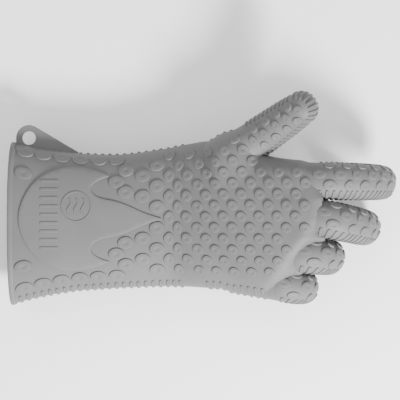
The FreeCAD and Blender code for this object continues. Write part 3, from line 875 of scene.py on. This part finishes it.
def gauntlet_surface(s, angle):
    points, normals = sleeve(s, angle)
    dip = TUCK * smoothstep(s - JOIN + 0.4)
    return points - normals * dip[..., None], normals


gauntlet, along = tube_skin("gauntlet_skin", gauntlet_surface, stations, 144)
wrist_bend(gauntlet, along)
finish_piece(gauntlet, ("cuff_shell", "wrist_flex_sleeve"))

HAND_GRID = 1.7
points, quads = hand_skin(hand_distance, HAND_GRID)
outer_normals = unit(gradient(hand_distance, points, 0.5))
inner_points, inner_quads = hand_skin(lambda p: hand_distance(p) + WALL, HAND_GRID)
inner_normals = -unit(gradient(hand_distance, inner_points, 0.5))
quads = wound(points, [tuple(q) for q in quads], outer_normals)
inner_quads = wound(inner_points, [tuple(q) for q in inner_quads], inner_normals)
hand = new_object(
    "hand_skin",
    np.concatenate((points, inner_points)),
    quads + moved(inner_quads, len(points)),
    np.concatenate((outer_normals, inner_normals)),
)
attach(hand, "hand")
finish_piece(hand, ("hand_shell",))


def zones_of(name):
    return THUMB_ZONES if name == "thumb" else FINGER_ZONES


def digit_bodies(name, zone):
    zones = [z for z, _ in zones_of(name)]
    k = zones.index(zone)
    return ("hand" if k == 0 else f"{name}_{zones[k - 1]}"), f"{name}_{zone}"


ROOT_LAP = 1.2  # how far a digit's skin reaches into the hand's

for name, digit in digits.items():
    for k, (zone, parts) in enumerate(zones_of(name)):
        start, stop = digit.cuts[k], digit.cuts[k + 1]
        last = k + 1 == len(zones_of(name))
        first = start - ROOT_LAP if k == 0 else start
        if last:
            straight = np.linspace(first, digit.length, max(4, round((digit.length - first) / 1.2)))
            nearly_quarter = math.pi / 2 * 0.985
            round_end = digit.length + digit.cap * np.linspace(0, nearly_quarter, 16)[1:]
            rings = np.concatenate((straight, round_end))
        else:
            rings = np.linspace(first, stop, round((stop - first) / 1.2))

        def surface(s, angle, digit=digit):
            spots, normals = digit.surface(s, angle)
            dip = TUCK * (1 - smoothstep(s + ROOT_LAP))
            return spots - normals * dip[..., None], normals

        skin, along = tube_skin(f"{name}_{zone}_skin", surface, rings, 64, closed_end=last)
        a, b = digit_bodies(name, zone)
        bend(skin, along, a, b, *digit.joints[k])
        finish_piece(skin, [f"{name}_{part}" for part in parts])


# ---------------------------------------------------------------- build: flame, marks, rim and tab

# half of the flame, as (x, distance from its axis): a long tongue's flank, and the rounded foot
FLAME_AXIS = -15.5
TONGUE = ((-34, 0), (-50, 5), (-66, 12), (-80, 16), (-92, 19.5), (-97, 26), (-92, 32.5), (-80, 37))
FOOT = ((-80, 37), (-95, 42.5), (-112, 45), (-129, 42), (-145, 32), (-155, 17), (-159, 0))
RING_PLACE, RING_RADIUS, RING_WIDTH = np.array((-109.0, -5.0)), 13.3, 1.2
BAR_PLACE, BAR_LENGTH, BAR_WIDTH, BAR_PITCH = (-132.5, -12.0), 16.0, 2.6, 7.2


def flank(points, step):
    """A natural cubic spline through the points, by chord length, without its last point."""
    points = np.asarray(points, float)
    chords = np.linalg.norm(np.diff(points, axis=0), axis=1)
    slopes = np.diff(points, axis=0) / chords[:, None]
    system, known = np.eye(len(points)), np.zeros((len(points), 2))
    for i in range(1, len(points) - 1):
        system[i, i - 1:i + 2] = chords[i - 1], 2 * (chords[i - 1] + chords[i]), chords[i]
        known[i] = 6 * (slopes[i] - slopes[i - 1])
    bend_at = np.linalg.solve(system, known)
    length = running(chords)
    at = np.linspace(0, length[-1], max(3, round(length[-1] / step)), endpoint=False)
    i = np.clip(np.searchsorted(length, at, side="right") - 1, 0, len(chords) - 1)
    past, left, chord = (v[:, None] for v in (at - length[i], length[i + 1] - at, chords[i]))

    def share(k, away):
        return (points[k] / chord - bend_at[k] * chord / 6) * away + bend_at[k] * away**3 / (6 * chord)

    return share(i, left) + share(i + 1, past)


def on_flame(points, side):
    return [(x, FLAME_AXIS + side * away) for x, away in points]


def softened(outline, rounds):
    """A closed outline with its points eased towards their neighbours, which rounds its tips."""
    for _ in range(rounds):
        outline = (np.roll(outline, 1, axis=0) + 2 * outline + np.roll(outline, -1, axis=0)) / 4
    return outline


flame_outline = softened(
    np.vstack([
        flank(part, 1.2)
        for part in (
            on_flame(TONGUE, 1),
            on_flame(FOOT, 1) + on_flame(FOOT[:-1], -1)[::-1],
            on_flame(TONGUE, -1)[::-1],
        )
    ]),
    3,
)
flame_pad = pad_template(flame_outline, RELIEF + 0.1, 3.2, edge=0.3)


def band_pad(centre, outer, inner, low, high):
    """A raised ring."""
    radii = (outer + 0.1, outer, outer - 0.2, inner + 0.2, inner, inner - 0.1)
    levels = (low, high - 0.2, high, high, high - 0.2, low)
    ring = on_circle(full_turn(96))
    flat = np.vstack([centre + radius * ring for radius in radii])
    return flat, np.repeat(levels, len(ring)), grid_faces(len(radii), len(ring), True)


def wave_outline(x, y):
    """One wavy bar, as a plain sign for heat."""
    half_length, half_width, sway = 7.0, 0.8, 1.6
    rise = np.linspace(-half_length, half_length, 25)
    centre = x + sway * np.sin(rise / half_length * math.pi)
    right = np.stack((centre + half_width, y + rise), 1)
    left = np.stack((centre - half_width, y + rise), 1)[::-1]
    return np.vstack((right, left))


MARK_LOW, MARK_HIGH = RELIEF - 0.2, RELIEF + 0.65
WAVE_PITCH = 6.0
mark_pads = [band_pad(RING_PLACE, RING_RADIUS, RING_RADIUS - RING_WIDTH, MARK_LOW, MARK_HIGH)]
for step in (-1, 0, 1):
    outline = spaced(wave_outline(RING_PLACE[0] + WAVE_PITCH * step, RING_PLACE[1]), 0.6)
    mark_pads.append(pad_template(outline, MARK_HIGH, 1.5, low=MARK_LOW, edge=0.2, foot=0.1))
for step in range(-4, 5):
    bar = bar_outline(BAR_WIDTH, BAR_LENGTH, 0.9) + np.array((BAR_PLACE[0], BAR_PLACE[1] + BAR_PITCH * step))
    mark_pads.append(pad_template(spaced(bar, 0.7), MARK_HIGH, 1.5, low=MARK_LOW, edge=0.25, foot=0.1))

for side, word in ((1, "top"), (-1, "under")):
    flame = Relief()
    flame.add(flame_pad, plan_spot(side))
    obj, _ = flame.build(f"cuff_flame_{word}")
    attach(obj, "cuff")
    finish_piece(obj, (f"cuff_flame_panel_{word}",), smooth=True)
    marks = Relief()
    for pad in mark_pads:
        marks.add(pad, plan_spot(side))
    obj, _ = marks.build(f"cuff_signs_{word}")
    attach(obj, "cuff")
    finish_piece(obj, (f"cuff_marks_{word}",), smooth=True)


def rim():
    """The rolled lip round the mouth."""
    profile = np.array((  # past the mouth, off the skin
        (1.6, -0.4), (1.2, 0.55), (0.4, 1.05), (-0.6, 1.3), (-2.3, 1.3), (-3.1, 1.1), (-3.5, 0.5),
        (-3.5, -1.0), (-3.3, -1.6), (-2.6, -2.0), (-0.4, -2.05), (0.8, -2.0), (1.4, -1.7),
    ))
    turns = full_turn(200)
    rows = []
    for turn in turns:
        base, normal = sleeve(np.full(len(profile), MOUTH) + profile[:, 0], turn)
        rows.append(base + normal * profile[:, 1:2])
    points = np.vstack(rows)
    count = len(profile)
    faces = grid_faces(len(turns) + 1, count, True)
    faces = [tuple(i % len(points) for i in face) for face in faces]
    middle = points.reshape(len(turns), count, 3).mean(1).repeat(count, 0)
    obj = new_object("cuff_rim_lip", points, wound(points, faces, points - middle))
    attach(obj, "cuff")
    finish_piece(obj, ("cuff_rim_band",))


rim()


def tab():
    """The flat ear at the corner of the mouth, with its round hole and rounded edges."""
    centre, radius, hole_radius = np.array((-153.9, 56.0)), 11.5, 6.0
    left, right, right_y = -165.4, -110.0, 43.5
    reach = np.array((right, right_y)) - centre
    leaves = math.atan2(reach[1], reach[0]) + math.acos(radius / np.linalg.norm(reach))
    crown = np.linspace(math.pi, leaves, 24)
    arc = centre + radius * on_circle(crown)
    foot_x = np.linspace(right, left, 24)
    top = smooth_table(foot_x - DRAWN_WRIST[0], SECTIONS[:, 0], SECTIONS[:, 1])
    foot = np.stack((foot_x, top - 1.1), 1)
    outline = anticlockwise(spaced(np.vstack((arc, (right, right_y), foot)), 1.0))
    hole = centre + hole_radius * on_circle(full_turn(48))
    sides = ((outline, -outward(outline)), (hole, outward(hole)))
    half, edge = 1.5, 0.6
    flat, levels, faces = [], [], []
    start = 0
    profile = [(0.0, -half + edge), (0.0, half - edge), (edge * 0.3, half - edge * 0.3), (edge, half)]
    profile = [(i, -v) for i, v in reversed(profile[2:])] + profile
    for loop, inward in sides:
        for inset, level in profile:
            flat.append(loop + inward * inset)
            levels.append(np.full(len(loop), level))
        faces += moved(grid_faces(len(profile), len(loop), True), start)
        start += len(profile) * len(loop)
    rims = [loop + inward * edge for loop, inward in sides]
    places, triangles = filled(rims, 2.5, 1.3)
    for level, flip in ((half, False), (-half, True)):
        flat.append(places)
        levels.append(np.full(len(places), level))
        faces += moved(triangles[:, ::-1] if flip else triangles, start)
        start += len(places)
    flat, levels = np.vstack(flat), np.concatenate(levels)
    points = np.column_stack((flat[:, 0], flat[:, 1], DRAWN_WRIST[2] + levels)) + SHIFT
    obj = new_object("hanging_tab", points, faces)
    obj.data.set_sharp_from_angle(angle=SHARP)
    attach(obj, "cuff")
    finish_piece(obj, ("hang_tab",), smooth=True)


tab()


# ---------------------------------------------------------------- build: nubs and ribs

ROW = 9.1
RIB_SHIFT = 6.5  # how far the edge ribs are rolled, up on the little finger's side and down on the thumb's
# room off the edge, without and with ribs: to the cuff's first row of pads, and the least for a pad
PAD_ROOM = {"free": 6.0, "ribbed": 12.3}
CUFF_ROOM = {"free": 1.1, "ribbed": 7.4}
HAND_ROOM = {"free": 0.6, "ribbed": 9.0}
FLAME_ROOM = 0.9
LATTICE_START, LATTICE_END, LATTICE_AXIS = -51.6, 130.0, -32.6
EDGE_ROWS_END = 20.0
HAND_RIBS_END = 84.0  # past the wrist, along the hand's plane


def pad_size(x):
    """Length along the arm and width across it of the pads at that plan x."""
    length = np.interp(x, (-150, -41, -16, 11), (15.0, 13.0, 11.0, 8.6))
    return float(length), float(np.interp(x, (-28, 11), (10.5, 8.1)))


def from_edge(x, edge, side, inward):
    """Plan y at that far inside the place of the first row of pads along an edge."""
    middle, half, _ = section(x - DRAWN_WRIST[0])
    return float(middle + edge * (half - PAD_ROOM["ribbed" if edge != side else "free"] - inward))


def beside_flame(side):
    """Rows of pads that follow the cuff's edges, every other row shifted by half the pitch."""
    for edge in (1, -1):
        for row in range(5):
            for column in range(8):
                x = -155.5 + 16.2 * (column + row % 2 / 2)
                y = from_edge(x, edge, side, 9.4 * row)
                if x < -50 and (y - FLAME_AXIS) * edge > 0:
                    yield x, y


def lattice(side):
    """The staggered pads from the flame's tip to the knuckles, closer and smaller towards the hand."""
    x, column = LATTICE_START, 0
    while x < LATTICE_END:
        row = ROW + 0.5 * float(smoothstep((x + 20) / 60))
        for k in range(-9, 9):
            yield x, LATTICE_AXIS + row * (2 * k + column % 2)
        if x < EDGE_ROWS_END:
            for edge in (1, -1):
                yield x, from_edge(x, edge, side, 0.0)
        x += float(np.interp(x, (-52, -27, -5, 4), (12.4, 11.3, 9.2, 7.4)))
        column += 1


def clear_of_flame(x, y, length, width):
    """Whether a pad there stays off the flame: no point of its outline is inside or nearer than its edge."""
    reach = np.array((length, width)) / 2 + FLAME_ROOM
    away = np.hypot(*((flame_outline - (x, y)) / reach).T)
    return away.min() > 1 and not within(flame_outline, np.array(((x, y),)))[0]


def edge_room(s, y, width, side):
    """Whether a pad keeps off the edge, and off the ribs on the face that they roll over onto."""
    middle, half, _ = section(s)
    ribbed = (y > middle) == (side < 0)
    return abs(y - middle) < half - width * 0.45 - CUFF_ROOM["ribbed" if ribbed else "free"]


gauntlet_nubs = Relief()
hand_nubs = Relief()


def cast(origin, direction, reach):
    """Where rays leave the hand, with the outward normals there."""
    t = np.full(len(origin), reach)
    for _ in range(14):
        value = hand_distance(origin + t[:, None] * direction)
        ahead = hand_distance(origin + (t + 0.3)[:, None] * direction)
        slope = np.clip((ahead - value) / 0.3, 0.25, 2.0)
        t = t - np.clip(value / slope, -4, 4)
    points = origin + t[:, None] * direction
    return points, unit(gradient(hand_distance, points, 0.5))


def hand_spot(x, y, side):
    """Maps a pad's plane onto the hand's skin, looking straight at its plane."""
    s0 = (x - DRAWN_WRIST[0]) / math.cos(RISE)

    def mapped(a, b):
        s, across = s0 + a, y + b
        origin = from_hand_frame(s, across, np.zeros_like(s))
        return cast(origin, np.broadcast_to(side * UPWARD, origin.shape), 22.0) + (s,)

    return mapped


def digit_room(x, y, margin):
    """How a plan point lies behind every digit's root plane, clear of it by the margin."""
    s = (x - DRAWN_WRIST[0]) / math.cos(RISE)
    point = from_hand_frame(np.array(s), np.array(y), np.array(0.0))
    for digit in digits.values():
        away = point - digit.plane
        along = away @ digit.before
        side = abs(away @ digit.lateral)
        if along > -margin and side < digit.radii[0] * digit.widen + margin:
            return False
    return True


def lands_whole(pad, spot, side):
    """Whether every point of a pad meets the hand's skin, nowhere too steeply."""
    points, normals, _ = spot(pad[0][:, 0], pad[0][:, 1])
    return np.abs(hand_distance(points)).max() < 0.15 and (side * (normals @ UPWARD)).min() > 0.45


def add_nub(x, y, length, width, side):
    """Puts a pad on the gauntlet or on the hand, where it has room off the edge, the ribs and the digits."""
    s = x - DRAWN_WRIST[0]
    pad = nub_pad(length, width)
    if x < 0:
        if edge_room(s, y, width, side):
            gauntlet_nubs.add(pad, sleeve_spot(s, float(sleeve_angle(s, y, side)), -side))
        return
    along = s / math.cos(RISE)
    centre = from_hand_frame(np.array(along), np.array(y), np.array(0.0))
    inside = hand_distance(centre[None])[0]
    ribbed = along < HAND_RIBS_END and (y < -45 if side > 0 else y > 20)
    room = HAND_ROOM["ribbed" if ribbed else "free"] + width * 0.3
    spot = hand_spot(x, y, side)
    if inside < -room and digit_room(x, y, width * 0.1) and lands_whole(pad, spot, side):
        hand_nubs.add(pad, spot)


for side in (1, -1):
    taken = []
    for x, y in (*lattice(side), *beside_flame(side)):
        length, width = pad_size(x)
        apart = all(math.hypot((x - u) / (length + 1), (y - v) / (width - 1)) > 1 for u, v in taken)
        if apart and clear_of_flame(x, y, length, width):
            add_nub(x, y, length, width, side)
            taken.append((x, y))

gauntlet_ribs = Relief()
hand_ribs = Relief()
rib_pad = rib_template(20.0, 2.7, RELIEF)
rolled_rib = (rib_pad[0] + np.array((0.0, RIB_SHIFT)), *rib_pad[1:])
CUFF_RIB_PITCH, HAND_RIB_PITCH = 6.5, 6.0
TAB_END = -108.0  # plan x where the thumb's side is clear of the tab
for step in range(23):
    s = MOUTH + 5.5 + CUFF_RIB_PITCH * step
    for angle in (0.0, math.pi):
        if angle > 0.0 or s + DRAWN_WRIST[0] >= TAB_END:
            gauntlet_ribs.add(rolled_rib, sleeve_spot(s, angle, -1))

EDGE_ROUND = 14.0  # radius by which the hand's ribs are rolled round its edge
HAND_MIDDLE = -18.0


def hand_edge_spot(s0, sign):
    """Maps a rib's plane round the hand's edge at s0, rolled as the cuff's ribs are."""
    tries = np.linspace(5.0, 90.0, 171)
    across = HAND_MIDDLE + sign * tries
    inside = hand_distance(from_hand_frame(np.full(len(tries), s0), across, np.zeros(len(tries)))) < 0
    core = across[np.argmin(inside)] - sign * EDGE_ROUND

    def mapped(a, b):
        over = (b - sign * RIB_SHIFT) / EDGE_ROUND
        origin = from_hand_frame(s0 + a, np.full(len(a), core), np.zeros(len(a)))
        direction = sign * np.cos(over)[:, None] * SIDEWAYS + np.sin(over)[:, None] * UPWARD
        return cast(origin, direction, EDGE_ROUND) + (s0 + a,)

    return mapped


for count, sign in ((9, -1), (4, 1)):
    for step in range(count):
        hand_ribs.add(rib_pad, hand_edge_spot(JOIN + 4.0 + HAND_RIB_PITCH * step, sign))

for relief, label, node in (
    (gauntlet_nubs, "gauntlet_nubs", "cuff_grip_nubs"),
    (gauntlet_ribs, "gauntlet_ribs", "cuff_edge_ribs"),
):
    obj, along = relief.build(label)
    wrist_bend(obj, along)
    finish_piece(obj, (node,))
for relief, label, node in (
    (hand_nubs, "hand_nubs", "hand_grip_nubs"),
    (hand_ribs, "hand_ribs", "hand_edge_ribs"),
):
    obj, _ = relief.build(label)
    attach(obj, "hand")
    finish_piece(obj, (node,))


def digit_relief(name, digit):
    """Three staggered rows of nubs on either face, and ribs along both sides and round the tip."""
    zones = [Relief() for _ in zones_of(name)]

    def zone_at(s):
        return zones[min(int(np.searchsorted(digit.cuts[1:-1], s)), len(zones) - 1)]

    size = 8.0 if name != "little" else 7.4
    pitch = 13.4
    apart = 9.0 / digit.radii[0]
    nub = nub_pad(size, size * 0.92)
    for side in (1, -1):
        for column in (-1, 0, 1):
            s = size * 0.55 + (pitch / 2 if column else 0.0)
            while s < digit.length + digit.cap * (0.85 if column == 0 else 0.35):
                angle = side * math.pi / 2 - column * side * apart - digit.roll
                zone_at(s).add(nub, digit.spot(s, angle, -side))
                s += pitch
    rib_pitch = 4.6
    rib = rib_template(1.35 * digit.radii[1], 2.2, RELIEF * 0.9)
    s = 5.0
    while s < digit.length - 0.5:
        for angle in (0.0, math.pi):
            zone_at(s).add(rib, digit.spot(s, angle - digit.roll, 1))
        s += rib_pitch
    count = round(digit.cap * math.pi / rib_pitch)
    for k in range(count):
        zones[-1].add(rib, digit.cap_spot((k + 0.5) * math.pi / count))
    return zones


for name, digit in digits.items():
    for k, (relief, (zone, _)) in enumerate(zip(digit_relief(name, digit), zones_of(name))):
        obj, along = relief.build(f"{name}_{zone}_grip")
        bend(obj, along, *digit_bodies(name, zone), *digit.joints[k])
        obj.data.materials.append(matte)


# ---------------------------------------------------------------- stage

lowest = float(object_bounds()[0][2])
floor_mesh = bpy.data.meshes.new("floor")
reach = 3.0
floor_mesh.from_pydata(
    [(-reach, -reach, 0), (reach, -reach, 0), (reach, reach, 0), (-reach, reach, 0)], [], [(0, 1, 2, 3)]
)
floor = bpy.data.objects.new("floor", floor_mesh)
floor.location.z = min(0.0, lowest) - 0.0002
bpy.context.scene.collection.objects.link(floor)
paper = bpy.data.materials.new("paper")
paper.use_nodes = True
paper.node_tree.nodes["Principled BSDF"].inputs["Base Color"].default_value = (0.93, 0.93, 0.93, 1)
paper.node_tree.nodes["Principled BSDF"].inputs["Roughness"].default_value = 0.9
floor_mesh.materials.append(paper)


def softbox(name, place, aim, size, power):
    lamp = bpy.data.lights.new(name, "AREA")
    lamp.shape, lamp.size, lamp.energy = "DISK", size, power
    obj = bpy.data.objects.new(name, lamp)
    obj.location = place
    obj.rotation_euler = (Vector(aim) - Vector(place)).to_track_quat("-Z", "Y").to_euler()
    bpy.context.scene.collection.objects.link(obj)


softbox("key", (0.55, -1.0, 0.8), (0, 0, 0.03), 0.4, 64.0)
softbox("fill", (-0.5, 0.9, 1.3), (0, 0, 0.03), 1.2, 10.0)

world = bpy.data.worlds.new("studio")
world.use_nodes = True
world.node_tree.nodes["Background"].inputs["Color"].default_value = (1, 1, 1, 1)
world.node_tree.nodes["Background"].inputs["Strength"].default_value = 1.1
bpy.context.scene.world = world

camera_data = bpy.data.cameras.new("camera")
camera_data.lens, camera_data.sensor_width = 108.0, 36.0
camera_data.clip_start, camera_data.clip_end = 0.05, 20.0
camera = bpy.data.objects.new("camera", camera_data)
camera.location = (-0.0034, 0.0, 1.1)
bpy.context.scene.collection.objects.link(camera)
bpy.context.scene.camera = camera
